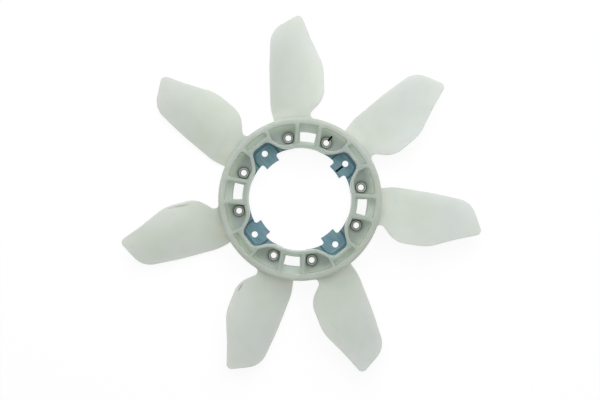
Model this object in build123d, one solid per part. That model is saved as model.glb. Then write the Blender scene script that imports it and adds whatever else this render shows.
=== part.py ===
from build123d import *
from math import asin, atan, cos, degrees, hypot, pi, radians, sin, tan
import os

# Engine cooling fan wheel, in millimetres and degrees.
# Origin: on the fan axis, in the plane of the bracket pads' rear faces.
# +Z runs along the axis, out of the pocketed front of the hub.

# ---- interface to the clutch ----
PILOT_D = 100.0             # circle on which the four bracket tabs pilot
BOLT_OUTSET = 15.0          # bolt circle beyond the pilot circle, on the radius
BOLT_HOLE_D = 7.0
BAY_COUNT = 4
FIRST_BAY_ANGLE = 37.9      # bay and bracket axes, counted from +X

# ---- pressed steel bracket ----
SHEET = 2.3
PAD_STEP = 3.0              # how far the pad is pressed below the flange
STEP_RUN = 2.0              # sideways run of the pressed step
PAD_HALF_WIDTH = 13.1
PAD_MARGIN = 5.9            # outer end of the pad beyond the bolt circle
PAD_CORNER_R = 8.0
TAB_LENGTH = 7.5            # from the flange's bore to the pilot circle
TAB_HALF_WIDTH = 8.2
TAB_FLARE = 1.2             # widening of the tab towards its root, each side
NOTCH_R = 2.6
FLANGE_MARGIN = 9.0         # outer edge of the flange beyond the rivet circle
BRACKET_HALF_ANGLE = 33.0
BRACKET_CORNER_R = 3.0

# ---- tubular rivet ----
RIVET_OUTSET = 5.0          # rivet circle beyond the bolt circle, on the radius
RIVET_OFFSET_ANGLE = 27.05  # each side of the bay axis
RIVET_BORE_D = 6.6
RIVET_WALL = 0.7
RIVET_HEAD_REACH = 1.9      # head beyond the shank, on the radius
RIVET_HEAD_H = 1.6
RIVET_FOOT_REACH = 1.7
RIVET_FOOT_H = 1.3
RIVET_CLEARANCE = 0.1       # radial, shank to hole

# ---- hub of the moulding ----
HUB_WIDTH = 33.1            # of the ring at its front edge, on the radius
BORE_SETBACK = 0.2          # hub bore behind the flange's bore
HUB_FRONT_Z = 38.0
HUB_REAR_Z = 1.5
HUB_DRAFT = 1.0
HUB_EDGE = 2.2              # broken front edge of the rim
FLOOR = 4.0                 # web under the rivet heads
RIM_WALL = 7.0              # at the front edge
BORE_WALL = 4.0
BAY_WALL = 3.2
POCKET_CORNER_R = 2.5
SEAT_CLEARANCE = 0.3        # around the bracket in the rear of the hub

# ---- bays, windows and ribs of the hub ----
BAY_GAP = 3.3               # from the end of the pad to the end of the bay
BAY_END_HALF_WIDTH = 5.4
BAY_CORNER_R = 7.6
BAY_CORNER_TURN = 66.0
BAY_SIDE = 7.0              # straight part of a bay's side
BAY_LOBE_R = 27.0
BAY_LOBE_TURN = 42.0
WINDOW_INSET = 6.8          # inner edge of the window beyond the hub bore
WINDOW_LENGTH = 11.3
WINDOW_HALF_ANGLE = 7.0
WINDOW_POCKET_DEPTH = 13.0
WINDOW_RIB = 4.2
WINDOW_RIB_OFFSET = 12.4    # rib centre from the window axis
WINDOW_RIB_TILT = 2.4
TAB_RIB = 3.9
TAB_RIB_ANGLE = 11.1        # rib centre from the bay axis
TAB_POCKET_DEPTH = 11.0

# ---- blades ----
BLADE_ANGLES = (39.7, 91.5, 139.7, 194.9, 248.4, 291.3, 350.8)
TIP_R = 205.0
BLADE_LEAD = 364.0          # axial advance of the blade surface per turn
BLADE_MID_Z = 24.8          # height of the blade surface on its radial axis
CAMBER_R_ROOT = 200.0
CAMBER_R_TIP = 90.0
BLADE_T_ROOT = 4.0
BLADE_T_TIP = 2.6
EDGE_THINNING = 0.55        # share of the thickness left at the blank's edges
NECK_HALF = 14.4            # front edge of the blade beside the hub
NECK_LENGTH = 5.3
NECK_ROOT_R = 4.2           # concave corner between the hub and the neck
NECK_R = 5.0                # concave corner between the neck and the shoulder
SHOULDER_RUN = 15.2         # along the radius, from the neck to the widest place
SHOULDER_HALF = 30.2        # front edge at the widest place
SHOULDER_R = 26.0
SHOULDER_END = 57.0         # end of the widest place, back from the tip
SHOULDER_END_R = 46.0
FRONT_EASE = 25.0           # where the front edge eases, back from the tip
FRONT_EASE_HALF = 16.2
FRONT_EASE_R = 150.0
TIP_FRONT_REACH = 2.3       # front corner of the tip beyond its circle, before rounding
TIP_FRONT_HALF = 6.2
TIP_FRONT_R = 6.0
TIP_REAR_SETBACK = 14.4     # rear corner of the tip, back from the tip circle
TIP_REAR_HALF = 28.0
TIP_REAR_R = 23.0
BACK_HALF = 30.7            # rear edge at the widest place
BACK_END_R = 200.0
BACK_RUN = 12.0             # from the hub to the rear edge's widest place
BACK_R = 60.0
ROOT_BACK_HALF = 24.7       # rear edge beside the hub
BLANK_MARGIN = 3.0          # sheet beyond the outline, each side, before it is cut
BLADE_SECTIONS = 6

# ---- worked out from the above ----
FLANGE_FRONT_Z = PAD_STEP + SHEET
FLOOR_Z = FLANGE_FRONT_Z + FLOOR
PILOT_R = PILOT_D / 2
BOLT_R = PILOT_R + BOLT_OUTSET
RIVET_R = BOLT_R + RIVET_OUTSET
FLANGE_BORE_R = PILOT_R + TAB_LENGTH
FLANGE_R = RIVET_R + FLANGE_MARGIN
PAD_END = BOLT_R + PAD_MARGIN
BAY_END = PAD_END + BAY_GAP
HUB_BORE_R = FLANGE_BORE_R + BORE_SETBACK
HUB_R = HUB_BORE_R + HUB_WIDTH
POCKET_OUTER_R = HUB_R - RIM_WALL
POCKET_INNER_R = HUB_BORE_R + BORE_WALL
POCKET_DEPTH = HUB_FRONT_Z - FLOOR_Z
WINDOW_INNER_R = HUB_BORE_R + WINDOW_INSET
WINDOW_OUTER_R = WINDOW_INNER_R + WINDOW_LENGTH
ROOT_R = HUB_R - RIM_WALL / 2
RIVET_SHANK_R = RIVET_BORE_D / 2 + RIVET_WALL
RIVET_HOLE_R = RIVET_SHANK_R + RIVET_CLEARANCE
HELIX = BLADE_LEAD / (2 * pi)
BAY_STEP = 360.0 / BAY_COUNT
BAY_ANGLES = [FIRST_BAY_ANGLE + BAY_STEP * i for i in range(BAY_COUNT)]
RIVET_ANGLES = [a + side * RIVET_OFFSET_ANGLE for a in BAY_ANGLES for side in (-1, 1)]


def polar(radius, angle):
    """Point at a radius and an angle from +X."""
    return (radius * cos(radians(angle)), radius * sin(radians(angle)))


def wedge(half_angle, length):
    """Sector-cutting triangle from the axis, symmetric about +X."""
    side = length * tan(radians(half_angle))
    return make_face(Polyline((0, 0), (length, -side), (length, side), close=True))


def ring_sector(inner_r, outer_r, half_angle):
    """Part of a flat ring, symmetric about +X."""
    return (Circle(outer_r) - Circle(inner_r)) & wedge(half_angle, 1.5 * outer_r)


def upper_half(size):
    """Square that keeps the +Y side of an outline."""
    return Pos(0, size) * Rectangle(4 * size, 2 * size)


def bay_copies(shape):
    """Copies of a shape drawn about +X, one on each bay axis."""
    return [Rot(0, 0, angle) * shape for angle in BAY_ANGLES]


# ---- bracket ----


def flange_outline(grow=0.0):
    """Flat outline of the bracket's flange about +X, grown for its seat in the hub."""
    half_angle = BRACKET_HALF_ANGLE + degrees(grow / FLANGE_R)
    sector = ring_sector(FLANGE_BORE_R - grow, FLANGE_R + grow, half_angle)
    return fillet(sector.vertices(), BRACKET_CORNER_R)


def tab_outline():
    """Tab from the pad towards the axis, ending on the pilot circle."""
    root_x = FLANGE_BORE_R + TAB_HALF_WIDTH
    tip_x = PILOT_R - TAB_HALF_WIDTH
    root_half = TAB_HALF_WIDTH + TAB_FLARE
    tapered = make_face(
        Polyline((tip_x, -TAB_HALF_WIDTH), (root_x, -root_half), (root_x, root_half),
                 (tip_x, TAB_HALF_WIDTH), close=True)
    )
    return tapered - Circle(PILOT_R)


def bracket_blank():
    """Outline of the whole bracket: flange and tab, with rounded notches between them."""
    blank = flange_outline() + tab_outline()
    root_corners = [
        v for v in blank.vertices()
        if abs(Vector(v).length - FLANGE_BORE_R) < 0.01 and abs(v.Y) < PAD_HALF_WIDTH
    ]
    return fillet(root_corners, NOTCH_R)


def pad_outline(grow):
    """Pad outline about +X, open towards the axis, grown by an offset."""
    inner_x = PILOT_R - PAD_CORNER_R
    length = PAD_END + grow - inner_x
    outline = Pos(inner_x + length / 2, 0) * Rectangle(length, 2 * (PAD_HALF_WIDTH + grow))
    outer_corners = outline.vertices().sort_by(Axis.X)[-2:]
    return fillet(outer_corners, PAD_CORNER_R + grow)


def bracket():
    """Pressed bracket about +X: flange, pad pressed below it, tab and holes."""
    blank = bracket_blank()
    slope = degrees(atan(STEP_RUN / PAD_STEP))
    wall_offset = SHEET / cos(radians(slope)) - SHEET * tan(radians(slope))
    flange = Pos(0, 0, PAD_STEP) * extrude(blank, SHEET)
    form = extrude(pad_outline(wall_offset), FLANGE_FRONT_Z, taper=-slope)
    cavity = Pos(0, 0, SHEET) * extrude(pad_outline(0), 2 * PAD_STEP, taper=-slope)
    pressed = flange + (form & extrude(blank, FLANGE_FRONT_Z)) - cavity
    through = 4 * FLANGE_FRONT_Z
    holes = [Pos(BOLT_R, 0) * Cylinder(BOLT_HOLE_D / 2, through)]
    for side in (-1, 1):
        centre = polar(RIVET_R, side * RIVET_OFFSET_ANGLE)
        holes.append(Pos(*centre) * Cylinder(RIVET_HOLE_R, through))
    return pressed - holes


# ---- rivet ----


def rivet():
    """Tubular rivet on Z: foot under the flange, rolled head on the pocket floor."""
    bore = RIVET_BORE_D / 2
    shank = RIVET_SHANK_R
    head = shank + RIVET_HEAD_REACH
    foot = shank + RIVET_FOOT_REACH
    crest = ((bore + head) / 2, FLOOR_Z + RIVET_HEAD_H)
    foot_z = PAD_STEP - RIVET_FOOT_H
    section = make_face(
        Polyline((bore, foot_z), (foot, foot_z), (foot, PAD_STEP), (shank, PAD_STEP),
                 (shank, FLOOR_Z), (head, FLOOR_Z), crest, (bore, FLOOR_Z), close=True)
    )
    return revolve(Plane.XZ * section, Axis.Z)


# ---- hub ----


def bay_outline():
    """Bay through the hub about +X: square-shouldered end and lobed sides."""
    start = (BAY_END, BAY_END_HALF_WIDTH)
    corner = JernArc(start, (0, 1), BAY_CORNER_R, BAY_CORNER_TURN)
    side = Line(corner @ 1, corner @ 1 + (corner % 1) * BAY_SIDE)
    lobe = JernArc(side @ 1, side % 1, BAY_LOBE_R, -BAY_LOBE_TURN)
    end = lobe @ 1
    closing = Polyline(end, (0, end.Y), (0, 0), (BAY_END, 0), start)
    half = make_face(Wire([corner, side, lobe] + closing.edges()))
    return half + mirror(half, Plane.XZ)


def hub_blank():
    """Ring with a drafted outside and a broken front edge."""
    rear_r = HUB_R + (HUB_FRONT_Z - HUB_REAR_Z) * tan(radians(HUB_DRAFT))
    section = make_face(
        Polyline((HUB_BORE_R, HUB_REAR_Z), (rear_r, HUB_REAR_Z), (HUB_R, HUB_FRONT_Z),
                 (HUB_BORE_R, HUB_FRONT_Z), close=True)
    )
    front_edge = section.vertices().sort_by(Axis.Y)[-2:].sort_by(Axis.X)[-1]
    return revolve(Plane.XZ * chamfer(front_edge, HUB_EDGE), Axis.Z)


def beside_window(edge_offset):
    """Tapered strip about a window axis, out to the ribs' centres plus an offset."""
    mid_r = (POCKET_INNER_R + POCKET_OUTER_R) / 2
    widening = tan(radians(WINDOW_RIB_TILT)) * mid_r
    half = WINDOW_RIB_OFFSET + edge_offset
    return make_face(
        Polyline((0, widening - half), (2 * mid_r, -half - widening),
                 (2 * mid_r, half + widening), (0, half - widening), close=True)
    )


def rivet_pocket():
    """Pocket outline around the rivet on the +Y side of the bay axis +X."""
    tab_rib_edge = TAB_RIB_ANGLE + degrees(TAB_RIB / 2 / POCKET_OUTER_R)
    sector = ring_sector(POCKET_INNER_R, POCKET_OUTER_R, BAY_STEP / 2)
    pocket = sector & upper_half(POCKET_OUTER_R)
    pocket -= wedge(tab_rib_edge, 2 * POCKET_OUTER_R)
    pocket -= offset(bay_outline(), BAY_WALL)
    pocket -= Rot(0, 0, BAY_STEP / 2) * beside_window(WINDOW_RIB / 2)
    outer_corners = [v for v in pocket.vertices() if Vector(v).length > POCKET_OUTER_R - 0.01]
    return fillet(outer_corners, POCKET_CORNER_R)


def window_pocket():
    """Pocket outline between the two ribs of a window, about +X."""
    sector = ring_sector(POCKET_INNER_R, POCKET_OUTER_R, BAY_STEP / 2)
    return sector & beside_window(-WINDOW_RIB / 2)


def tab_pocket():
    """Shallow pocket outline between the end of a bay and the rim, about +X."""
    half_angle = TAB_RIB_ANGLE - degrees(TAB_RIB / 2 / POCKET_OUTER_R)
    sector = ring_sector(POCKET_INNER_R, POCKET_OUTER_R, half_angle)
    inner_x = BAY_END + BAY_WALL
    return sector & Pos(inner_x + POCKET_OUTER_R, 0) * Rectangle(2 * POCKET_OUTER_R, 2 * POCKET_OUTER_R)


def sunk(outline, depth):
    """Pocket cutter from the hub's front face down."""
    return Pos(0, 0, HUB_FRONT_Z) * extrude(outline, -depth)


def through_cut(outline):
    """Cutter through the whole hub."""
    return Pos(0, 0, HUB_REAR_Z - FLOOR) * extrude(outline, HUB_FRONT_Z + 2 * FLOOR)


def hub():
    """Hub ring with bays, ribbed pockets, windows, rivet holes and bracket seats."""
    pocket = rivet_pocket()
    quarter = [
        through_cut(bay_outline()),
        sunk(pocket, POCKET_DEPTH),
        sunk(mirror(pocket, Plane.XZ), POCKET_DEPTH),
        sunk(tab_pocket(), TAB_POCKET_DEPTH),
        Pos(0, 0, HUB_REAR_Z) * extrude(flange_outline(SEAT_CLEARANCE), FLANGE_FRONT_Z - HUB_REAR_Z),
        Rot(0, 0, BAY_STEP / 2) * sunk(window_pocket(), WINDOW_POCKET_DEPTH),
        Rot(0, 0, BAY_STEP / 2)
        * through_cut(ring_sector(WINDOW_INNER_R, WINDOW_OUTER_R, WINDOW_HALF_ANGLE)),
    ]
    for side in (-1, 1):
        centre = polar(RIVET_R, side * RIVET_OFFSET_ANGLE)
        quarter.append(Pos(*centre) * Cylinder(RIVET_HOLE_R, 4 * FLOOR_Z))
    ring = hub_blank()
    for cutter in quarter:
        ring -= bay_copies(cutter)
    return ring


# ---- blades ----


def blade_outline():
    """Blade seen along the fan axis, radial axis on +X, front edge on the -Y side."""
    neck_angle = degrees(asin(NECK_HALF / HUB_R))
    inside_r = ROOT_R - RIM_WALL
    beside_neck = neck_angle + degrees(2 * NECK_ROOT_R / HUB_R)
    neck_end = HUB_R + NECK_LENGTH
    corners = [
        (polar(inside_r, -beside_neck), 0),
        (polar(HUB_R, -beside_neck), 0.5),
        (polar(HUB_R, -neck_angle), NECK_ROOT_R),
        ((neck_end, -NECK_HALF), NECK_R),
        ((neck_end + SHOULDER_RUN, -SHOULDER_HALF), SHOULDER_R),
        ((TIP_R - SHOULDER_END, -SHOULDER_HALF), SHOULDER_END_R),
        ((TIP_R - FRONT_EASE, -FRONT_EASE_HALF), FRONT_EASE_R),
        ((TIP_R + TIP_FRONT_REACH, -TIP_FRONT_HALF), TIP_FRONT_R),
        ((TIP_R - TIP_REAR_SETBACK, TIP_REAR_HALF), TIP_REAR_R),
        ((TIP_R - SHOULDER_END, BACK_HALF), BACK_END_R),
        ((HUB_R + BACK_RUN, BACK_HALF), BACK_R),
        ((inside_r, ROOT_BACK_HALF), 0),
    ]
    points = [point for point, radius in corners]
    radii = [radius for point, radius in corners[1:-1]]
    edge = FilletPolyline(*points, radius=radii)
    closing = Line(points[-1], points[0])
    return make_face(Wire(edge.edges() + [closing]))


def blade_section(radius):
    """Cross-section of the blade sheet at a radius, before its outline is cut."""
    share = (radius - ROOT_R) / (TIP_R - ROOT_R)
    camber_r = CAMBER_R_ROOT + share * (CAMBER_R_TIP - CAMBER_R_ROOT)
    face_thickness = BLADE_T_ROOT + share * (BLADE_T_TIP - BLADE_T_ROOT)
    half = BACK_HALF + BLANK_MARGIN
    rise = HELIX * atan(half / radius)
    fall = half**2 / (2 * camber_r)
    thickness = face_thickness * hypot(1, HELIX / radius)
    edge_thickness = thickness * EDGE_THINNING
    front_z = BLADE_MID_Z - fall + rise
    back_z = BLADE_MID_Z - fall - rise
    face = ThreePointArc((-half, front_z), (0, BLADE_MID_Z), (half, back_z))
    back = ThreePointArc((half, back_z - edge_thickness), (0, BLADE_MID_Z - thickness),
                         (-half, front_z - edge_thickness))
    ends = [Line(face @ 1, back @ 0), Line(back @ 1, face @ 0)]
    section = make_face(Wire([face, ends[0], back, ends[1]]))
    return Plane(origin=(radius, 0, 0), x_dir=(0, 1, 0), z_dir=(1, 0, 0)) * section


def blade():
    """One twisted, cambered blade about +X, with its root inside the hub's rim."""
    inner_r = ROOT_R - RIM_WALL
    reach = TIP_R + RIM_WALL - inner_r
    radii = [inner_r + reach * i / (BLADE_SECTIONS - 1) for i in range(BLADE_SECTIONS)]
    sheet = loft([blade_section(radius) for radius in radii])
    blank = sheet & extrude(blade_outline(), 2 * HUB_FRONT_Z)
    return blank - Cylinder(ROOT_R, 4 * HUB_FRONT_Z)


def fan_moulding():
    """The one-piece moulding: hub and blades."""
    one_blade = blade()
    wheel = hub()
    for angle in BLADE_ANGLES:
        wheel += Rot(0, 0, angle) * one_blade
    return wheel


# ---- write every piece in its place ----


def write(name, shape):
    """Write one piece as a STEP file named after its node."""
    shape.label = name
    export_step(shape, f"parts/{name}.step")


os.makedirs("parts", exist_ok=True)
write("fan_moulding", fan_moulding())
for number, placed in enumerate(bay_copies(bracket()), 1):
    write(f"bracket_{number}", placed)
for number, angle in enumerate(RIVET_ANGLES, 1):
    centre = polar(RIVET_R, angle)
    write(f"rivet_{number}", Pos(*centre) * rivet())
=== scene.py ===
"""Dresses an engine cooling fan wheel: a pale natural moulding on riveted, plated steel brackets.

Lengths are metres and angles are degrees, in the frame of the loaded model. The origin is on the
fan axis, in the plane of the rear faces of the bracket pads, and +Z leaves the ribbed front of
the hub.
"""

import logging
import math
import random
from collections.abc import Iterable, Mapping, Sequence
from dataclasses import dataclass
from enum import Enum

import bmesh
import bpy
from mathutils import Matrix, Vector
from mathutils.bvhtree import BVHTree

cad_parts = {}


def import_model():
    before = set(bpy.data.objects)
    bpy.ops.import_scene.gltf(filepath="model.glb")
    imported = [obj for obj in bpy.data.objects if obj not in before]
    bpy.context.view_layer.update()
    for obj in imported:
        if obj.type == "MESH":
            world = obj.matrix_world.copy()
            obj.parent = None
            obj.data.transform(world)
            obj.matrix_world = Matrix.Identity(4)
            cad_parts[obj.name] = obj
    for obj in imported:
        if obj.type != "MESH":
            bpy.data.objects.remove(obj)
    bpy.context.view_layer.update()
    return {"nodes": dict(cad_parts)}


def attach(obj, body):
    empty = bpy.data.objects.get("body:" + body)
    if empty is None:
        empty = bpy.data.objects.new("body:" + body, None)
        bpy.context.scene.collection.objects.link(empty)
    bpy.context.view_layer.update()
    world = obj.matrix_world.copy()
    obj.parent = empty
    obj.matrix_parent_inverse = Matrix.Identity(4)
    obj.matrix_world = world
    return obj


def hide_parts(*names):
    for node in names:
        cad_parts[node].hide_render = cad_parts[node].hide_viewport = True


LOG = logging.getLogger("fan_wheel")
MM = 0.001
BODY = "root"
BAY_STEP = 90.0  # the hub repeats in four bays

Colour = tuple[float, float, float]
Point = tuple[float, float]
Socket = bpy.types.NodeSocket
Sockets = Mapping[str, Socket]
Value = float | Sequence[float] | Socket


class Slot(Enum):
    """Material slots that the record names."""

    MOULDING = "moulding"
    BRACKET = "plated_bracket"
    RIVET = "rivet_steel"


class SocketKind(Enum):
    """Kinds of socket that the shader groups use."""

    NUMBER = "NodeSocketFloat"
    VECTOR = "NodeSocketVector"
    COLOUR = "NodeSocketColor"


def linear(red: int, green: int, blue: int) -> Colour:
    """Turns a display colour into a linear one.

    Args:
        red: Red level, 0 to 255.
        green: Green level, 0 to 255.
        blue: Blue level, 0 to 255.

    Returns:
        The three linear levels, 0 to 1.
    """
    levels = [level / 255 for level in (red, green, blue)]
    toe, toe_slope, offset, gamma = 0.04045, 12.92, 0.055, 2.4
    low, mid, high = (
        level / toe_slope if level <= toe else ((level + offset) / (1 + offset)) ** gamma
        for level in levels
    )
    return low, mid, high


BLACK: Colour = (0.0, 0.0, 0.0)
WHITE: Colour = (1.0, 1.0, 1.0)


# ---- shader nodes ----


@dataclass(frozen=True)
class Fade:
    """Smooth step from 0 at the start to 1 at the end; the end may be the lower one."""

    start: float
    end: float


class NodeWriter:
    """Adds shader nodes to one node tree and links them."""

    def __init__(self, tree: bpy.types.NodeTree) -> None:
        """Starts on a node tree.

        Args:
            tree: The tree that the nodes go into.
        """
        self.tree = tree

    def feed(self, socket: Socket, value: Value) -> None:
        """Links an output to an input socket, or sets the socket's own value.

        Args:
            socket: The input socket.
            value: An output socket or a constant, and a constant colour is given without alpha.
        """
        if isinstance(value, Socket):
            self.tree.links.new(value, socket)
        elif socket.type == "RGBA":
            socket.default_value = (*value, 1.0)
        else:
            socket.default_value = value

    def put(
        self, kind: str, inputs: Mapping[str | int, Value] | None = None, **settings: object
    ) -> bpy.types.Node:
        """Adds one node.

        Args:
            kind: The node's type name, without the leading ShaderNode.
            inputs: What goes into its sockets, by name or number.
            **settings: Properties of the node.

        Returns:
            The new node.
        """
        node = self.tree.nodes.new(f"ShaderNode{kind}")
        for name, setting in settings.items():
            setattr(node, name, setting)
        for key, value in (inputs or {}).items():
            self.feed(node.inputs[key], value)
        return node

    def place(self) -> Socket:
        """The shaded point, in the frame of the model."""
        return self.put("TexCoord").outputs["Object"]

    def math(self, operation: str, *values: Value) -> Socket:
        """Adds a Math node.

        Args:
            operation: The operation's name.
            *values: Its inputs in order.

        Returns:
            Its result.
        """
        return self.put("Math", dict(enumerate(values)), operation=operation).outputs[0]

    def product(self, first: Socket, *others: Value) -> Socket:
        """Multiplies values in order.

        Args:
            first: The first value.
            *others: What it is multiplied by.

        Returns:
            The product.
        """
        result = first
        for other in others:
            result = self.math("MULTIPLY", result, other)
        return result

    def vector(self, operation: str, *values: Value, output: str = "Vector") -> Socket:
        """Adds a Vector Math node.

        Args:
            operation: The operation's name.
            *values: Its inputs in order.
            output: The output that holds the result.

        Returns:
            Its result.
        """
        return self.put("VectorMath", dict(enumerate(values)), operation=operation).outputs[output]

    def turned(self, place: Value, turn: Value) -> Socket:
        """Turns a place about Z.

        Args:
            place: The place.
            turn: The turn in radians.

        Returns:
            The turned place.
        """
        inputs = {"Vector": place, "Angle": turn}
        return self.put("VectorRotate", inputs, rotation_type="Z_AXIS").outputs["Vector"]

    def fade(self, value: Value, step: Fade) -> Socket:
        """Maps a value by a smooth step.

        Args:
            value: What is mapped.
            step: Where the step starts and ends.

        Returns:
            The step's result, 0 to 1.
        """
        rising = step.start < step.end
        inputs = {
            "Value": value,
            "From Min": min(step.start, step.end), "From Max": max(step.start, step.end),
            "To Min": 0.0 if rising else 1.0, "To Max": 1.0 if rising else 0.0,
        }
        return self.put("MapRange", inputs, interpolation_type="SMOOTHSTEP").outputs["Result"]

    def mix(self, share: Value, first: Value, second: Value, blend: str = "MIX") -> Socket:
        """Adds a colour mix.

        Args:
            share: Share of the second colour.
            first: The first colour.
            second: The second colour.
            blend: The blend type's name.

        Returns:
            The mixed colour.
        """
        factor_input, first_input, second_input, colour_output = 0, 6, 7, 2
        inputs = {factor_input: share, first_input: first, second_input: second}
        return self.put("Mix", inputs, data_type="RGBA", blend_type=blend).outputs[colour_output]

    def tinted(self, colour: Value, tint: Colour) -> Socket:
        """Multiplies a colour by a tint.

        Args:
            colour: The colour.
            tint: The tint.

        Returns:
            The tinted colour.
        """
        return self.mix(1.0, colour, tint, "MULTIPLY")

    def noise(self, place: Value, scale: Value = 1.0, detail: float = 3.0) -> Socket:
        """Adds a noise texture.

        Args:
            place: Where the noise is read.
            scale: Repeats for each metre.
            detail: Octaves.

        Returns:
            The noise, about 0.5 on average.
        """
        finer_strength = 0.55
        inputs = {"Vector": place, "Scale": scale, "Detail": detail, "Roughness": finer_strength}
        return self.put("TexNoise", inputs).outputs["Fac"]


@dataclass(frozen=True)
class GroupSocket:
    """One named socket of a shader group."""

    name: str
    kind: SocketKind
    default: Value = 0.0


PLACE = GroupSocket("Place", SocketKind.VECTOR, (0.0, 0.0, 0.0))
MID_GREY = (0.5, 0.5, 0.5, 1.0)


class ShaderGroup:
    """An effect that materials share, kept as one node group."""

    name = "group"
    takes: tuple[GroupSocket, ...] = ()
    gives: tuple[GroupSocket, ...] = ()

    def wire(self, write: NodeWriter, given: Sockets) -> dict[str, Socket]:
        """Writes the nodes inside the group.

        Args:
            write: Writer on the group's own tree.
            given: The group's inputs by name.

        Returns:
            What goes to each output, by name.
        """
        raise NotImplementedError

    def tree(self) -> bpy.types.NodeTree:
        """The group's tree, built the first time that it is asked for."""
        known = bpy.data.node_groups.get(self.name)
        if known is not None:
            return known
        tree = bpy.data.node_groups.new(self.name, "ShaderNodeTree")
        for direction, sockets in (("INPUT", self.takes), ("OUTPUT", self.gives)):
            for socket in sockets:
                made = tree.interface.new_socket(
                    name=socket.name, in_out=direction, socket_type=socket.kind.value
                )
                if direction == "INPUT":
                    made.default_value = socket.default
        write = NodeWriter(tree)
        entry = tree.nodes.new("NodeGroupInput")
        leaving = tree.nodes.new("NodeGroupOutput")
        given = {socket.name: entry.outputs[socket.name] for socket in self.takes}
        for name, result in self.wire(write, given).items():
            write.feed(leaving.inputs[name], result)
        return tree

    def place(self, write: NodeWriter, inputs: Mapping[str, Value]) -> Sockets:
        """Puts the group into a material.

        Args:
            write: Writer on the material's tree.
            inputs: What goes into the group, by socket name.

        Returns:
            The group's outputs.
        """
        node = write.put("Group", node_tree=self.tree())
        for name, value in inputs.items():
            write.feed(node.inputs[name], value)
        return node.outputs


class BayMap(ShaderGroup):
    """Where a point lies in the four-fold pattern of the hub."""

    name = "bay_map"
    takes = (
        PLACE,
        GroupSocket("First Bay", SocketKind.NUMBER),
        GroupSocket("Rivet Radius", SocketKind.NUMBER),
        GroupSocket("Rivet Angle", SocketKind.NUMBER),
    )
    gives = (
        GroupSocket("Radius", SocketKind.NUMBER),
        GroupSocket("Height", SocketKind.NUMBER),
        GroupSocket("Bay Angle", SocketKind.NUMBER),
        GroupSocket("Rivet Distance", SocketKind.NUMBER),
    )

    def wire(self, write: NodeWriter, given: Sockets) -> dict[str, Socket]:
        """Folds the turn about the axis onto one half of one bay.

        Args:
            write: Writer on the group's own tree.
            given: The group's inputs by name.

        Returns:
            What goes to each output, by name.
        """
        axes = write.put("SeparateXYZ", {0: given["Place"]}).outputs
        radius = self.hypotenuse(write, axes["X"], axes["Y"])
        turn = write.math("DEGREES", write.math("ARCTAN2", axes["Y"], axes["X"]))
        past_bay = write.math("SUBTRACT", turn, given["First Bay"])
        folded = write.math("ABSOLUTE", write.math("WRAP", past_bay, BAY_STEP / 2, -BAY_STEP / 2))
        from_rivet = write.math("RADIANS", write.math("SUBTRACT", folded, given["Rivet Angle"]))
        reach = write.product(radius, write.math("COSINE", from_rivet))
        along = write.math("SUBTRACT", reach, given["Rivet Radius"])
        across = write.product(radius, write.math("SINE", from_rivet))
        return {
            "Radius": radius,
            "Height": axes["Z"],
            "Bay Angle": folded,
            "Rivet Distance": self.hypotenuse(write, along, across),
        }

    def hypotenuse(self, write: NodeWriter, one: Socket, other: Socket) -> Socket:
        """Length of a slanted line.

        Args:
            write: Writer on the group's own tree.
            one: The line's run along one axis.
            other: Its run along the other axis.

        Returns:
            The length.
        """
        squares = write.math("ADD", write.product(one, one), write.product(other, other))
        return write.math("SQRT", squares)


class Mottle(ShaderGroup):
    """Cloudy variation of a colour towards a second one."""

    name = "mottle"
    takes = (
        PLACE,
        GroupSocket("Colour", SocketKind.COLOUR, MID_GREY),
        GroupSocket("Second Colour", SocketKind.COLOUR, MID_GREY),
        GroupSocket("Scale", SocketKind.NUMBER, 20.0),
        GroupSocket("Amount", SocketKind.NUMBER, 0.5),
    )
    gives = (GroupSocket("Colour", SocketKind.COLOUR),)
    cloud = Fade(0.32, 0.68)

    def wire(self, write: NodeWriter, given: Sockets) -> dict[str, Socket]:
        """Mixes the two colours by a soft noise.

        Args:
            write: Writer on the group's own tree.
            given: The group's inputs by name.

        Returns:
            What goes to each output, by name.
        """
        cloud = write.fade(write.noise(given["Place"], given["Scale"]), self.cloud)
        share = write.product(cloud, given["Amount"])
        return {"Colour": write.mix(share, given["Colour"], given["Second Colour"])}


class Grain(ShaderGroup):
    """Fine surface grain: a height for bump and an uneven roughness."""

    name = "grain"
    takes = (
        PLACE,
        GroupSocket("Scale", SocketKind.NUMBER, 900.0),
        GroupSocket("Roughness", SocketKind.NUMBER, 0.5),
        GroupSocket("Spread", SocketKind.NUMBER, 0.1),
    )
    gives = (GroupSocket("Height", SocketKind.NUMBER), GroupSocket("Roughness", SocketKind.NUMBER))
    fine_detail = 2.0
    coarse_share = 0.07
    noise_middle = 0.5

    def wire(self, write: NodeWriter, given: Sockets) -> dict[str, Socket]:
        """Adds a fine noise and a coarser one that changes the roughness.

        Args:
            write: Writer on the group's own tree.
            given: The group's inputs by name.

        Returns:
            What goes to each output, by name.
        """
        fine = write.noise(given["Place"], given["Scale"], self.fine_detail)
        coarse = write.noise(given["Place"], write.product(given["Scale"], self.coarse_share))
        spread = write.product(write.math("SUBTRACT", coarse, self.noise_middle), given["Spread"])
        return {"Height": fine, "Roughness": write.math("ADD", given["Roughness"], spread)}


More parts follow.
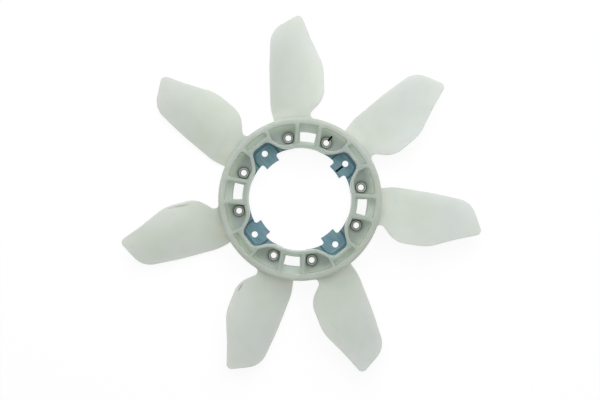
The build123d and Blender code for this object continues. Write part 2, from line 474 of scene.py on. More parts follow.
class SoftEdge(ShaderGroup):
    """Rounded look of a moulded or pressed edge, and a mask of where it is."""

    name = "soft_edge"
    takes = (GroupSocket("Radius", SocketKind.NUMBER, 0.5 * MM),)
    gives = (GroupSocket("Normal", SocketKind.VECTOR), GroupSocket("Edge", SocketKind.NUMBER))
    samples = 6
    unlike = Fade(0.995, 0.8)

    def wire(self, write: NodeWriter, given: Sockets) -> dict[str, Socket]:
        """Compares a rounded normal with the surface's own.

        Args:
            write: Writer on the group's own tree.
            given: The group's inputs by name.

        Returns:
            What goes to each output, by name.
        """
        bevel = write.put("Bevel", {"Radius": given["Radius"]}, samples=self.samples)
        rounded = bevel.outputs["Normal"]
        own = write.put("NewGeometry").outputs["Normal"]
        likeness = write.vector("DOT_PRODUCT", rounded, own, output="Value")
        return {"Normal": rounded, "Edge": write.fade(likeness, self.unlike)}


class CornerShade(ShaderGroup):
    """Mask of tucked-in corners, where dust and shade gather."""

    name = "corner_shade"
    takes = (
        GroupSocket("Reach", SocketKind.NUMBER, 6 * MM),
        GroupSocket("Amount", SocketKind.NUMBER, 1.0),
    )
    gives = (GroupSocket("Corner", SocketKind.NUMBER),)
    samples = 12
    closed_in = Fade(0.9, 0.35)

    def wire(self, write: NodeWriter, given: Sockets) -> dict[str, Socket]:
        """Turns the open share of the half sphere into a corner mask.

        Args:
            write: Writer on the group's own tree.
            given: The group's inputs by name.

        Returns:
            What goes to each output, by name.
        """
        around = write.put("AmbientOcclusion", {"Distance": given["Reach"]}, samples=self.samples)
        corner = write.fade(around.outputs["AO"], self.closed_in)
        return {"Corner": write.product(corner, given["Amount"])}


class RubMark(ShaderGroup):
    """Mask of one long patch of broken rub marks."""

    name = "rub_mark"
    takes = (
        PLACE,
        GroupSocket("Middle", SocketKind.VECTOR, (0.0, 0.0, 0.0)),
        GroupSocket("Half Size", SocketKind.VECTOR, (0.01, 0.01, 0.1)),
        GroupSocket("Turn", SocketKind.NUMBER),
    )
    gives = (GroupSocket("Mark", SocketKind.NUMBER),)
    streak_scale = (70.0, 900.0, 100.0)
    streak = Fade(0.44, 0.6)
    inwards = Fade(1.0, 0.45)

    def wire(self, write: NodeWriter, given: Sockets) -> dict[str, Socket]:
        """Fades an ellipse of streaks out towards its rim.

        Args:
            write: Writer on the group's own tree.
            given: The group's inputs by name.

        Returns:
            What goes to each output, by name.
        """
        from_middle = write.vector("SUBTRACT", given["Place"], given["Middle"])
        turned = write.turned(from_middle, given["Turn"])
        scaled = write.vector("DIVIDE", turned, given["Half Size"])
        reach = write.vector("LENGTH", scaled, output="Value")
        noise = write.noise(write.vector("MULTIPLY", turned, self.streak_scale))
        return {"Mark": write.product(write.fade(noise, self.streak), write.fade(reach, self.inwards))}


# ---- helpers for pieces ----


def box_of(piece: bpy.types.Object) -> tuple[Vector, Vector]:
    """Lowest and highest corner of a piece.

    Args:
        piece: The piece.

    Returns:
        The two corners, in the model's frame.
    """
    corners = [piece.matrix_world @ Vector(corner) for corner in piece.bound_box]
    low, high = (Vector([pick(corner[axis] for corner in corners) for axis in range(3)])
                 for pick in (min, max))
    return low, high


def hang(name: str, data: bpy.types.ID) -> bpy.types.Object:
    """Makes an object and links it to the scene.

    Args:
        name: The object's name.
        data: Its mesh, lamp or camera.

    Returns:
        The new object.
    """
    made = bpy.data.objects.new(name, data)
    bpy.context.scene.collection.objects.link(made)
    return made


# ---- finishes ----


@dataclass(frozen=True)
class Rub:
    """Where one patch of rub marks lies."""

    middle: Point
    half_length: float
    half_width: float
    turn: float
    strength: float

    def mask(self, write: NodeWriter, place: Value) -> Socket:
        """Puts the patch into a material.

        Args:
            write: Writer on the material's tree.
            place: The point, in the model's frame.

        Returns:
            The mask of the patch.
        """
        any_height = 1.0
        mark = RubMark().place(write, {
            "Place": place, "Middle": (*self.middle, 0.0),
            "Half Size": (self.half_length, self.half_width, any_height),
            "Turn": -math.radians(self.turn),
        })
        return write.product(mark["Mark"], self.strength)


@dataclass(frozen=True)
class HubPattern:
    """Where the hub's repeating features lie, as the materials need them."""

    first_bay: float
    rivet_radius: float
    rivet_angle: float

    @classmethod
    def measured(cls, nodes: Mapping[str, bpy.types.Object]) -> "HubPattern":
        """Reads the pattern off the first two rivets, which stand either side of the first bay.

        Args:
            nodes: The loaded model's nodes by name.

        Returns:
            The pattern.
        """
        places = [sum(box_of(nodes[name]), Vector()) / 2 for name in ("rivet_1", "rivet_2")]
        first, second = (math.degrees(math.atan2(place.y, place.x)) for place in places)
        return cls((first + second) / 2, places[0].xy.length, (second - first) / 2)

    def place(self, write: NodeWriter, place: Value) -> Sockets:
        """Puts the bay map into a material.

        Args:
            write: Writer on the material's tree.
            place: The point, in the model's frame.

        Returns:
            The map's outputs.
        """
        return BayMap().place(write, {
            "Place": place, "First Bay": self.first_bay,
            "Rivet Radius": self.rivet_radius, "Rivet Angle": self.rivet_angle,
        })


@dataclass(frozen=True)
class Texture:
    """How clouded and how grainy a finish is."""

    cloud_scale: float
    cloud_amount: float
    grain_scale: float
    grain_depth: float
    roughness: float
    roughness_spread: float

    def clouded(self, write: NodeWriter, place: Value, colour: Value, second: Value) -> Socket:
        """Varies a colour in soft clouds.

        Args:
            write: Writer on the material's tree.
            place: The point, in the model's frame.
            colour: The colour.
            second: The colour of the clouds.

        Returns:
            The clouded colour.
        """
        return Mottle().place(write, {
            "Place": place, "Colour": colour, "Second Colour": second,
            "Scale": self.cloud_scale, "Amount": self.cloud_amount,
        })["Colour"]

    def grain(
        self, write: NodeWriter, place: Value, edge: Sockets | None = None
    ) -> dict[str, Socket]:
        """Adds the grain.

        Args:
            write: Writer on the material's tree.
            place: The point, in the model's frame.
            edge: Outputs of the soft edge that the grain lies on, if there is one.

        Returns:
            The roughness and the normal, by the Principled BSDF's own names.
        """
        grain = Grain().place(write, {
            "Place": place, "Scale": self.grain_scale,
            "Roughness": self.roughness, "Spread": self.roughness_spread,
        })
        bump = write.put("Bump", {"Height": grain["Height"], "Distance": self.grain_depth})
        if edge is not None:
            write.feed(bump.inputs["Normal"], edge["Normal"])
        return {"Roughness": grain["Roughness"], "Normal": bump.outputs["Normal"]}


class Finish:
    """A surface finish that can be laid on a piece."""

    name = "finish"

    def surface(self, write: NodeWriter) -> bpy.types.Node:
        """Writes the finish's nodes.

        Args:
            write: Writer on the material's tree.

        Returns:
            The shader node that goes to the surface.
        """
        raise NotImplementedError

    def material(self) -> bpy.types.Material:
        """The finish's material, built the first time that it is asked for."""
        known = bpy.data.materials.get(self.name)
        if known is not None:
            return known
        material = bpy.data.materials.new(self.name)
        material.use_nodes = True
        material.node_tree.nodes.clear()
        write = NodeWriter(material.node_tree)
        shader = self.surface(write)
        write.put("OutputMaterial", {"Surface": shader.outputs[0]})
        return material

    def lay_on(self, piece: bpy.types.Object) -> None:
        """Makes this the piece's only material.

        Args:
            piece: The piece.
        """
        piece.data.materials.clear()
        piece.data.materials.append(self.material())
        LOG.info("%s: %s, %d faces", piece.name, self.name, len(piece.data.polygons))


@dataclass(frozen=True)
class NaturalPlastic(Finish):
    """Uncoloured, slightly see-through plastic, satin from the mould."""

    pattern: HubPattern
    name: str = "natural_plastic"
    # painted shade: the tips are coloured darker than the roots to even out the light along the blades
    tip_colour_painted_shade: Colour = linear(186, 194, 192)
    root_colour: Colour = linear(200, 209, 202)
    # painted light: the thick roots are lightened against the shade of the hub wall
    root_painted_light: Colour = linear(218, 223, 213)
    hub_colour: Colour = linear(192, 199, 193)
    inner_wall_colour: Colour = linear(173, 185, 179)
    # painted light: pocket walls and floors are lighter than the hub's top, offsetting the shade in the
    # pockets
    pocket_painted_light: Colour = linear(212, 220, 215)
    deep_floor_painted_light: Colour = linear(212, 223, 215)
    rivet_shade: Colour = linear(172, 183, 173)
    # dirt and painted contact shadow where each rivet's foot meets the plastic
    rivet_dirt_and_shadow: Colour = linear(72, 80, 70)
    cloud_tint: Colour = linear(244, 246, 238)
    # painted shade for tucked-in corners
    corner_shade_tint: Colour = linear(214, 220, 204)
    rub_colour: Colour = linear(132, 136, 140)
    rubs: tuple[Rub, ...] = (
        Rub((-133 * MM, -7.6 * MM), 20 * MM, 1.7 * MM, 12.5, 0.7),
        Rub((-66.2 * MM, -98 * MM), 7 * MM, 1.5 * MM, 60.0, 0.8),
        Rub((118 * MM, 66 * MM), 16 * MM, 5 * MM, 30.0, 0.12),
        Rub((40 * MM, -150 * MM), 20 * MM, 6 * MM, -70.0, 0.12),
    )
    texture: Texture = Texture(
        cloud_scale=24.0, cloud_amount=0.7,
        grain_scale=700.0, grain_depth=0.03 * MM,
        roughness=0.5, roughness_spread=0.16,
    )
    edge_radius: float = 1.2 * MM
    corner_reach: float = 5 * MM
    corner_amount: float = 0.12
    refraction: float = 1.47
    glow_share: float = 1.0
    glow_depth: float = 20 * MM
    glow_reach: Colour = (1.0, 1.0, 0.85)
    # strength of the painted glow in the pockets
    inner_glow: float = 0.12
    floor_glow: float = 0.5
    added_rim_glow: float = 0.8
    # along the radius
    towards_tip: Fade = Fade(100 * MM, 190 * MM)
    near_root: Fade = Fade(108 * MM, 93 * MM)
    in_hub: Fade = Fade(91.8 * MM, 87.8 * MM)
    inside_rim: Fade = Fade(88 * MM, 85 * MM)
    towards_rim: Fade = Fade(80.5 * MM, 84 * MM)
    towards_bore: Fade = Fade(85 * MM, 76 * MM)
    inside_flange: Fade = Fade(84 * MM, 76 * MM)
    # down from the front of the hub
    below_front: Fade = Fade(37.5 * MM, 30 * MM)
    low_on_blade: Fade = Fade(29 * MM, 16 * MM)
    near_floor: Fade = Fade(24 * MM, 10 * MM)
    # away from the bay's axis, in degrees, and from the rivet's own axis
    beside_bay: Fade = Fade(37.0, 31.0)
    round_rivet: Fade = Fade(10.2 * MM, 6.4 * MM)
    at_rivet: Fade = Fade(7.0 * MM, 6.1 * MM)

    def surface(self, write: NodeWriter) -> bpy.types.Node:
        """Writes the plastic: tints with painted light and shade, a painted glow in the pockets, rub marks
        and grain.

        Args:
            write: Writer on the material's tree.

        Returns:
            The Principled BSDF.
        """
        place = write.place()
        where = self.pattern.place(write, place)
        plain = self.hub_tint(write, where, self.blade_colour(write, where))
        clouded = self.texture.clouded(write, place, plain, write.tinted(plain, self.cloud_tint))
        edge = SoftEdge().place(write, {"Radius": self.edge_radius})
        corner = CornerShade().place(write, {"Reach": self.corner_reach, "Amount": self.corner_amount})
        # painted shade: tucked-in corners are darkened by the corner mask
        colour = write.mix(corner["Corner"], clouded, write.tinted(clouded, self.corner_shade_tint))
        for rub in self.rubs:
            colour = write.mix(rub.mask(write, place), colour, self.rub_colour)
        return write.put("BsdfPrincipled", {
            "Base Color": colour, **self.texture.grain(write, place, edge), "IOR": self.refraction,
            "Subsurface Weight": self.glow_share, "Subsurface Radius": self.glow_reach,
            "Subsurface Scale": self.glow_depth,
            # painted glow: emission lights the pockets
            "Emission Color": self.painted_pocket_glow(write, where, colour),
            "Emission Strength": self.inner_glow,
        }, subsurface_method="RANDOM_WALK")

    def in_pockets(self, write: NodeWriter, where: Sockets) -> Socket:
        """Mask of the hub's pockets.

        Args:
            write: Writer on the material's tree.
            where: Outputs of the bay map.

        Returns:
            The mask.
        """
        return write.product(write.fade(where["Radius"], self.inside_rim),
                             write.fade(where["Height"], self.below_front))

    def painted_pocket_glow(self, write: NodeWriter, where: Sockets, colour: Value) -> Socket:
        """Painted glow: emission in the pockets that stands in for light passed on by the see-through
        walls, most of it near the rim.

        Args:
            write: Writer on the material's tree.
            where: Outputs of the bay map.
            colour: The plastic's colour.

        Returns:
            The colour that the pockets give off.
        """
        added = write.product(write.fade(where["Radius"], self.towards_rim), self.added_rim_glow)
        share = write.product(self.in_pockets(write, where),
                              write.math("ADD", self.floor_glow, added))
        return write.mix(share, BLACK, colour)

    def blade_colour(self, write: NodeWriter, where: Sockets) -> Socket:
        """Colour of the blades: darker towards the tips, as painted shade that evens out the light along
        them, and lighter and slightly yellower low at the thick roots by the hub, as painted light against
        the hub wall's shade.

        Args:
            write: Writer on the material's tree.
            where: Outputs of the bay map.

        Returns:
            The colour.
        """
        outwards = write.fade(where["Radius"], self.towards_tip)
        colour = write.mix(outwards, self.root_colour, self.tip_colour_painted_shade)
        # painted light at the roots, low by the hub
        in_root = write.product(write.fade(where["Radius"], self.near_root),
                                write.fade(where["Height"], self.low_on_blade))
        return write.mix(in_root, colour, self.root_painted_light)

    def hub_tint(self, write: NodeWriter, where: Sockets, colour: Value) -> Socket:
        """Lays the hub's tints over the blades' colour: pockets and deep floors painted lighter against
        their shade, painted shade round the rivets, and dirt with painted contact shadow at each rivet's
        foot.

        Args:
            write: Writer on the material's tree.
            where: Outputs of the bay map.
            colour: The blades' colour.

        Returns:
            The colour of the whole moulding.
        """
        radius, to_rivet = where["Radius"], where["Rivet Distance"]
        top = write.mix(write.fade(radius, self.towards_bore), self.hub_colour, self.inner_wall_colour)
        # painted light in the pockets
        hub = write.mix(self.in_pockets(write, where), top, self.pocket_painted_light)
        colour = write.mix(write.fade(radius, self.in_hub), colour, hub)
        low = write.fade(where["Height"], self.near_floor)
        over_flange = write.product(low, write.fade(radius, self.inside_flange),
                                    write.fade(where["Bay Angle"], self.beside_bay))
        # painted light on the deep floors over the flange, against their shade
        colour = write.mix(over_flange, colour, self.deep_floor_painted_light)
        # painted shade round each rivet, then dirt and painted contact shadow at its foot
        for step, tint in ((self.round_rivet, self.rivet_shade), (self.at_rivet, self.rivet_dirt_and_shadow)):
            colour = write.mix(write.product(write.fade(to_rivet, step), low), colour, tint)
        return colour


@dataclass(frozen=True)
class PlatedSteel(Finish):
    """Zinc-plated sheet with a blue-grey passivated bloom."""

    pattern: HubPattern
    name: str = "plated_steel"
    blue: Colour = linear(102, 136, 150)
    green: Colour = linear(110, 144, 146)
    violet: Colour = linear(122, 134, 156)
    line_colour: Colour = linear(72, 98, 110)
    edge_colour: Colour = linear(128, 144, 148)
    # painted light: lifts the shaded slope of the pressed step
    step_light_colour: Colour = linear(150, 190, 204)
    # painted shadow in the corners
    corner_shadow_colour: Colour = linear(26, 35, 41)
    texture: Texture = Texture(
        cloud_scale=95.0, cloud_amount=1.0,
        grain_scale=1600.0, grain_depth=0.012 * MM,
        roughness=0.48, roughness_spread=0.2,
    )
    violet_scale: float = 70.0
    violet_patch: Fade = Fade(0.5, 0.68)
    violet_share: float = 0.6
    line_scale: tuple[float, float, float] = (50.0, 620.0, 300.0)
    line_turn: float = 50.0
    line_detail: float = 2.0
    line: Fade = Fade(0.4, 0.65)
    line_share: float = 0.35
    edge_radius: float = 0.35 * MM
    corner_reach: float = 1.7 * MM
    corner_amount: float = 0.75
    onto_step: Fade = Fade(68.6 * MM, 69.8 * MM)
    off_step: Fade = Fade(72.9 * MM, 71.9 * MM)
    in_bay: Fade = Fade(12.0, 9.0)
    step_light_share: float = 0.3
    metal_share: float = 0.55

    def surface(self, write: NodeWriter) -> bpy.types.Node:
        """Writes the plating: blooming tints, rolling lines, bright edges, painted light on the pad's step
        and painted shadow in the corners.

        Args:
            write: Writer on the material's tree.

        Returns:
            The Principled BSDF.
        """
        place = write.place()
        bloom = self.texture.clouded(write, place, self.blue, self.green)
        patches = write.fade(write.noise(place, self.violet_scale), self.violet_patch)
        tinged = write.mix(write.product(patches, self.violet_share), bloom, self.violet)
        along = write.vector("MULTIPLY", write.turned(place, math.radians(self.line_turn)), self.line_scale)
        lines = write.fade(write.noise(along, detail=self.line_detail), self.line)
        lined = write.mix(write.product(lines, self.line_share), tinged, self.line_colour)
        edge = SoftEdge().place(write, {"Radius": self.edge_radius})
        worn = write.mix(edge["Edge"], lined, self.edge_colour)
        # painted light on the pressed step's slope
        pressed = write.mix(self.step_light_mask(write, place), worn, self.step_light_colour)
        corner = CornerShade().place(write, {"Reach": self.corner_reach, "Amount": self.corner_amount})
        # painted shadow: near-black in the corners, darkest where the pads meet the hub wall
        colour = write.mix(corner["Corner"], pressed, self.corner_shadow_colour)
        return write.put("BsdfPrincipled", {
            "Base Color": colour, "Metallic": self.metal_share,
            **self.texture.grain(write, place, edge),
        })

    def step_light_mask(self, write: NodeWriter, place: Value) -> Socket:
        """Mask of the pressed step round the pad's outer end, where painted light lifts the slope's shade.

        Args:
            write: Writer on the material's tree.
            place: The point, in the model's frame.

        Returns:
            The mask.
        """
        where = self.pattern.place(write, place)
        on_step = write.product(write.fade(where["Radius"], self.onto_step),
                                write.fade(where["Radius"], self.off_step))
        return write.product(on_step, write.fade(where["Bay Angle"], self.in_bay), self.step_light_share)


@dataclass(frozen=True)
class RivetSteel(Finish):
    """Plated steel that was rolled over by the riveting tool."""

    pattern: HubPattern
    name: str = "rivet_steel"
    bright: Colour = linear(240, 242, 232)
    dull: Colour = linear(208, 210, 198)
    # dirt and painted shadow on the rivets' dark rings
    grime_and_shadow: Colour = linear(26, 30, 26)
    texture: Texture = Texture(
        cloud_scale=420.0, cloud_amount=0.8,
        grain_scale=2400.0, grain_depth=0.02 * MM,
        roughness=0.34, roughness_spread=0.25,
    )
    foot: Fade = Fade(5.5 * MM, 5.75 * MM)
    lip: Fade = Fade(4.7 * MM, 4.3 * MM)
    metal_share: float = 0.85

    def surface(self, write: NodeWriter) -> bpy.types.Node:
        """Writes the rivets: bright rolled crests, dirt with painted contact shadow at the foot where they
        meet the plastic, and painted shadow at the lip of the bore.

        Args:
            write: Writer on the material's tree.

        Returns:
            The Principled BSDF.
        """
        place = write.place()
        metal = self.texture.clouded(write, place, self.bright, self.dull)
        from_axis = self.pattern.place(write, place)["Rivet Distance"]
        # dirt and painted contact shadow at the foot, painted shadow at the bore's lip
        grime_and_shadow_mask = write.math("MAXIMUM", write.fade(from_axis, self.foot), write.fade(from_axis, self.lip))
        bare = write.product(write.math("SUBTRACT", 1.0, grime_and_shadow_mask), self.metal_share)
        return write.put("BsdfPrincipled", {
            "Base Color": write.mix(grime_and_shadow_mask, metal, self.grime_and_shadow), "Metallic": bare,
            **self.texture.grain(write, place),
        })


@dataclass(frozen=True)
class MarkingPaint(Finish):
    """Black marking paint, laid on by a felt tip."""

    name: str = "marking_paint"
    black: Colour = linear(8, 9, 10)
    worn: Colour = linear(36, 38, 38)
    texture: Texture = Texture(
        cloud_scale=1500.0, cloud_amount=0.6,
        grain_scale=5000.0, grain_depth=0.01 * MM,
        roughness=0.8, roughness_spread=0.3,
    )
    sheen: float = 0.15

    def surface(self, write: NodeWriter) -> bpy.types.Node:
        """Writes the paint: nearly black, with dry streaks.

        Args:
            write: Writer on the material's tree.

        Returns:
            The Principled BSDF.
        """
        place = write.place()
        return write.put("BsdfPrincipled", {
            "Base Color": self.texture.clouded(write, place, self.black, self.worn),
            "Specular IOR Level": self.sheen, **self.texture.grain(write, place),
        })


def seen_directly(write: NodeWriter) -> Socket:
    """Mask of the rays that look at a backdrop, straight, in gloss or through a clear piece.

    Args:
        write: Writer on the backdrop's tree.

    Returns:
        The mask.
    """
    path = write.put("LightPath").outputs
    straight = write.math("MAXIMUM", path["Is Camera Ray"], path["Is Glossy Ray"])
    return write.math("MAXIMUM", straight, path["Is Transmission Ray"])


@dataclass(frozen=True)
class PaleTable(Finish):
    """Light table that the camera sees as white, with the wheel's faint shadow on it."""

    name: str = "pale_table"
    colour: Colour = (0.9, 0.9, 0.9)
    glow: float = 0.28
    shown_white: float = 1.02
    shown_white_share: float = 0.82

    def surface(self, write: NodeWriter) -> bpy.types.Node:
        """Writes the table: pale paint over an even glow, mostly overlaid with white for direct sight.

        Args:
            write: Writer on the material's tree.

        Returns:
            The shader mix.
        """
        paint = write.put("BsdfDiffuse", {"Color": self.colour})
        glow = write.put("Emission", {"Color": WHITE, "Strength": self.glow})
        lit = write.put("AddShader", {0: paint.outputs[0], 1: glow.outputs[0]})
        shown = write.put("Emission", {"Color": WHITE, "Strength": self.shown_white})
        share = write.product(seen_directly(write), self.shown_white_share)
        return write.put("MixShader", {0: share, 1: lit.outputs[0], 2: shown.outputs[0]})


# ---- sub-assemblies ----


@dataclass
class CadPieces:
    """Nodes of the loaded model, or pieces in their places, that share one finish."""

    prefix: str
    finish: Finish
    slot: Slot
    nodes: Mapping[str, bpy.types.Object]

    def members(self) -> list[bpy.types.Object]:
        """The pieces whose nodes' names start with the prefix, in order of name."""
        return [self.nodes[name] for name in sorted(self.nodes) if name.startswith(self.prefix)]

    def dress(self) -> None:
        """Lays the finish on each piece."""
        for piece in self.members():
            self.finish.lay_on(piece)


@dataclass
class RolledRivet:
    """Tubular rivet with a rolled head, in place of its plain node."""

    node: bpy.types.Object
    bore: float = 3.3 * MM
    shank: float = 4.0 * MM
    head: float = 5.9 * MM
    foot: float = 5.7 * MM
    head_height: float = 1.6 * MM
    foot_height: float = 1.3 * MM
    roll: float = 0.85 * MM
    roll_turn: int = 150
    roll_step: int = 15
    plain_edge: float = 0.35 * MM
    broken_edge: float = 0.1 * MM
    undercut: float = 0.08 * MM
    # from the roll into the bore: beyond the bore's wall, and above the head's seat
    dish: tuple[Point, ...] = ((0.45 * MM, 0.4 * MM), (0.12 * MM, -0.1 * MM), (0.0, -0.7 * MM))
    segments: int = 64
    sharp_angle: float = 50.0

    def build(self) -> bpy.types.Object:
        """Builds the rivet in the place of its node.

        Returns:
            The new object, which stands for the node.
        """
        low, high = box_of(self.node)
        name = "rolled_" + self.node.name
        piece = hang(name, self.lathed(name, (low + high) / 2, self.section(low.z, high.z)))
        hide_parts(self.node.name)
        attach(piece, BODY)
        return piece

    def lathed(self, name: str, middle: Vector, section: Iterable[Point]) -> bpy.types.Mesh:
        """Turns a closed section about the rivet's own axis.

        Args:
            name: The mesh's name.
            middle: A point on the axis.
            section: The section, as radius and height.

        Returns:
            The mesh.
        """
        turned = bmesh.new()
        turns = [math.tau * number / self.segments for number in range(self.segments)]
        spokes = [(math.cos(turn), math.sin(turn)) for turn in turns]
        rings = [
            [turned.verts.new((middle.x + radius * x, middle.y + radius * y, height)) for x, y in spokes]
            for radius, height in section
        ]
        for ring, following in zip(rings, rings[1:] + rings[:1]):
            for number in range(self.segments):
                after = (number + 1) % self.segments
                turned.faces.new((ring[number], ring[after], following[after], following[number]))
        bmesh.ops.recalc_face_normals(turned, faces=turned.faces)
        mesh = bpy.data.meshes.new(name)
        turned.to_mesh(mesh)
        turned.free()
        mesh.shade_smooth()
        mesh.set_sharp_from_angle(angle=math.radians(self.sharp_angle))
        return mesh

    def section(self, bottom: float, top: float) -> list[Point]:
        """The closed section, as radius and height.

        Args:
            bottom: Height of the foot's underside.
            top: Height of the head's crest.

        Returns:
            The points in order.
        """
        seat = top - self.head_height
        crest = self.head - self.roll
        rise = self.head_height - self.plain_edge
        turns = [math.radians(turn) for turn in range(0, self.roll_turn + 1, self.roll_step)]
        rolled = [(crest + self.roll * math.cos(turn), seat + self.plain_edge + rise * math.sin(turn))
                  for turn in turns]
        dish = [(self.bore + beyond, seat + above) for beyond, above in self.dish]
        foot_top = bottom + self.foot_height
        foot = [
            (self.bore, bottom + self.plain_edge),
            (self.bore + self.broken_edge, bottom + self.broken_edge),
            (self.bore + self.plain_edge, bottom), (self.foot - self.plain_edge, bottom),
            (self.foot - self.broken_edge, bottom + self.broken_edge),
            (self.foot, bottom + self.plain_edge), (self.foot, foot_top), (self.shank, foot_top),
        ]
        under_head = [(self.shank, seat), (self.head - self.undercut, seat)]
        return foot + under_head + rolled + dish


@dataclass
class RolledRivets(CadPieces):
    """The eight rivets that hold the brackets."""

    def build(self) -> None:
        """Builds each rivet in the place of its node, and goes on with the built ones."""
        self.nodes = {node.name: RolledRivet(node).build() for node in self.members()}


@dataclass
class PaintStroke:
    """A stroke of marking paint that follows the surfaces under it."""

    name: str
    start: Point
    end: Point
    width: float = 2.4 * MM
    thickness: float = 0.06 * MM
    step: float = 0.25 * MM
    lanes: int = 6
    raggedness: float = 0.14
    blunt_end: float = 0.55
    end_swelling: float = 4.0
    drop_height: float = 60 * MM
    seed: int = 4

    def build(self, supports: Iterable[bpy.types.Object]) -> bpy.types.Object:
        """Builds the stroke as a thin closed film draped on the supports.

        Args:
            supports: The pieces that it may lie on.

        Returns:
            The new object.
        """
        film = bmesh.new()
        grid = [[film.verts.new(spot) for spot in row] for row in self.rows(supports)]
        faces = [
            film.faces.new((near[lane], near[lane + 1], far[lane + 1], far[lane]))
            for near, far in zip(grid, grid[1:])
            for lane in range(self.lanes)
        ]
        bmesh.ops.recalc_face_normals(film, faces=faces)
        if sum(face.normal.z for face in faces) < 0:
            bmesh.ops.reverse_faces(film, faces=faces)
        mesh = bpy.data.meshes.new(self.name)
        film.to_mesh(mesh)
        film.free()
        mesh.shade_smooth()
        piece = hang(self.name, mesh)
        solid = piece.modifiers.new("film", "SOLIDIFY")
        solid.thickness = self.thickness
        solid.offset = 1.0
        return piece

    def rows(self, supports: Iterable[bpy.types.Object]) -> list[list[Vector]]:
        """Rows of points across the stroke, from its start to its end.

        Args:
            supports: The pieces that it may lie on.

        Returns:
            The rows, laid on the supports.
        """
        depsgraph = bpy.context.evaluated_depsgraph_get()
        trees = [BVHTree.FromObject(piece, depsgraph) for piece in supports]
        along = Vector(self.end) - Vector(self.start)
        across = Vector((-along.y, along.x)).normalized()
        chance = random.Random(self.seed)
        count = max(2, round(along.length / self.step))
        rows = []
        for share in (number / count for number in range(count + 1)):
            fullness = min(1.0, self.blunt_end + self.end_swelling * min(share, 1 - share))
            half = 0.5 * self.width * fullness * (1 + self.raggedness * (chance.random() - 0.5))
            middle = Vector(self.start) + along * share
            spots = [middle + across * half * (2 * lane / self.lanes - 1) for lane in range(self.lanes + 1)]
            rows.append([self.drop(spot, trees) for spot in spots])
        return rows

    def drop(self, spot: Vector, trees: Iterable[BVHTree]) -> Vector:
        """The highest point of the supports under a spot.

        Args:
            spot: The place on X and Y.
            trees: Search trees of the supports.

        Returns:
            The point on the surface.
        """
        above = Vector((spot.x, spot.y, self.drop_height))
        hits = [tree.ray_cast(above, Vector((0, 0, -1)))[0] for tree in trees]
        heights = [hit.z for hit in hits if hit is not None]
        return Vector((spot.x, spot.y, max(heights, default=0.0)))


@dataclass
class IndexMarks:
    """The two paint strokes that show how the wheel goes on its clutch."""

    pieces: Mapping[str, bpy.types.Object]
    finish: Finish
    on_rivet: tuple[Point, Point] = ((31.8 * MM, 65.6 * MM), (36.3 * MM, 70.8 * MM))
    on_tab: tuple[Point, Point] = ((48.9 * MM, 37.4 * MM), (40.4 * MM, 30.9 * MM))

    def supports(self, *prefixes: str) -> list[bpy.types.Object]:
        """The pieces whose names start with one of the prefixes."""
        return [piece for name, piece in self.pieces.items() if name.startswith(prefixes)]

    def build(self) -> list[bpy.types.Object]:
        """Builds both strokes.

        Returns:
            The strokes.
        """
        return [
            PaintStroke("index_stroke_rivet", *self.on_rivet).build(self.supports("fan", "rivet")),
            PaintStroke("index_stroke_tab", *self.on_tab).build(self.supports("bracket")),
        ]

    def dress(self, strokes: Iterable[bpy.types.Object]) -> None:
        """Paints the strokes and makes them move with the wheel.

        Args:
            strokes: The strokes.
        """
        for stroke in strokes:
            self.finish.lay_on(stroke)
            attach(stroke, BODY)


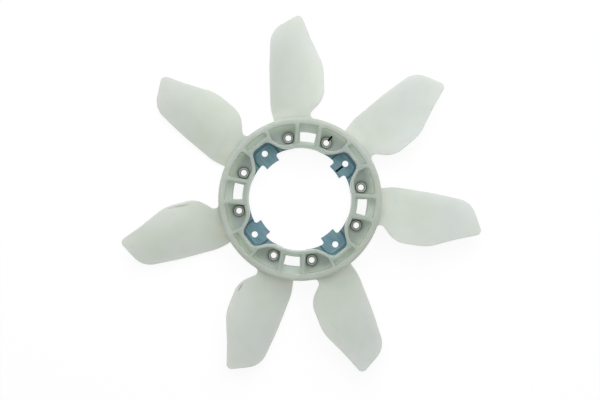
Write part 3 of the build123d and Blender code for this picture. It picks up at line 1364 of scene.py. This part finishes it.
@dataclass
class Studio:
    """Table, lamp, surroundings and camera."""

    table_half: float = 4.0
    table_drop: float = 0.4 * MM
    camera_height: float = 1.7
    field_width: float = 0.6803
    camera_shift_y: float = -1.0 * MM
    sensor: float = 36.0
    sky_level: float = 0.34
    shown_sky: float = 1.0
    key_power: float = 8.8
    key_size: float = 1.3
    key_place: tuple[float, float, float] = (0.06, 0.58, 0.88)

    def build(self) -> None:
        """Builds the whole studio."""
        self.table()
        self.lamp()
        self.surroundings()
        self.camera()
        bpy.context.scene.view_settings.view_transform = "Standard"

    def table(self) -> None:
        """Lays a plain table under the wheel."""
        half, level = self.table_half, -self.table_drop
        corners = [(-half, -half, level), (half, -half, level), (half, half, level), (-half, half, level)]
        mesh = bpy.data.meshes.new("table")
        mesh.from_pydata(corners, [], [(0, 1, 2, 3)])
        top = hang("table", mesh)
        PaleTable().lay_on(top)

    def lamp(self) -> None:
        """Hangs a large soft lamp above the far side of the table."""
        lamp = bpy.data.lights.new("key_lamp", "AREA")
        lamp.energy = self.key_power
        lamp.size = self.key_size
        holder = hang("key_lamp", lamp)
        holder.location = self.key_place
        holder.visible_camera = False
        holder.rotation_mode = "QUATERNION"
        holder.rotation_quaternion = (-Vector(self.key_place)).to_track_quat("-Z", "Y")

    def surroundings(self) -> None:
        """Fills the surroundings with even light, and with white for direct sight and gloss."""
        world = bpy.data.worlds.new("surroundings")
        world.use_nodes = True
        world.node_tree.nodes.clear()
        write = NodeWriter(world.node_tree)
        soft = write.put("Background", {"Color": WHITE, "Strength": self.sky_level})
        shown = write.put("Background", {"Color": WHITE, "Strength": self.shown_sky})
        both = write.put("MixShader", {0: seen_directly(write), 1: soft.outputs[0], 2: shown.outputs[0]})
        write.put("OutputWorld", {"Surface": both.outputs[0]})
        bpy.context.scene.world = world

    def camera(self) -> None:
        """Hangs the camera over the middle of the wheel, looking straight down."""
        lens = bpy.data.cameras.new("camera")
        lens.sensor_width = self.sensor
        lens.lens = self.sensor * self.camera_height / self.field_width
        holder = hang("camera", lens)
        holder.location = (0.0, self.camera_shift_y, self.camera_height)
        bpy.context.scene.camera = holder


def main() -> None:
    """Loads the model, dresses every piece and sets up the studio."""
    logging.basicConfig(level=logging.INFO, format="%(name)s: %(message)s")
    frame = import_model()
    nodes = frame["nodes"]
    pattern = HubPattern.measured(nodes)
    CadPieces("fan_moulding", NaturalPlastic(pattern), Slot.MOULDING, nodes).dress()
    CadPieces("bracket", PlatedSteel(pattern), Slot.BRACKET, nodes).dress()
    rivets = RolledRivets("rivet", RivetSteel(pattern), Slot.RIVET, nodes)
    rivets.build()
    rivets.dress()
    marks = IndexMarks({**nodes, **rivets.nodes}, MarkingPaint())
    marks.dress(marks.build())
    Studio().build()


if __name__ == "__main__":
    main()
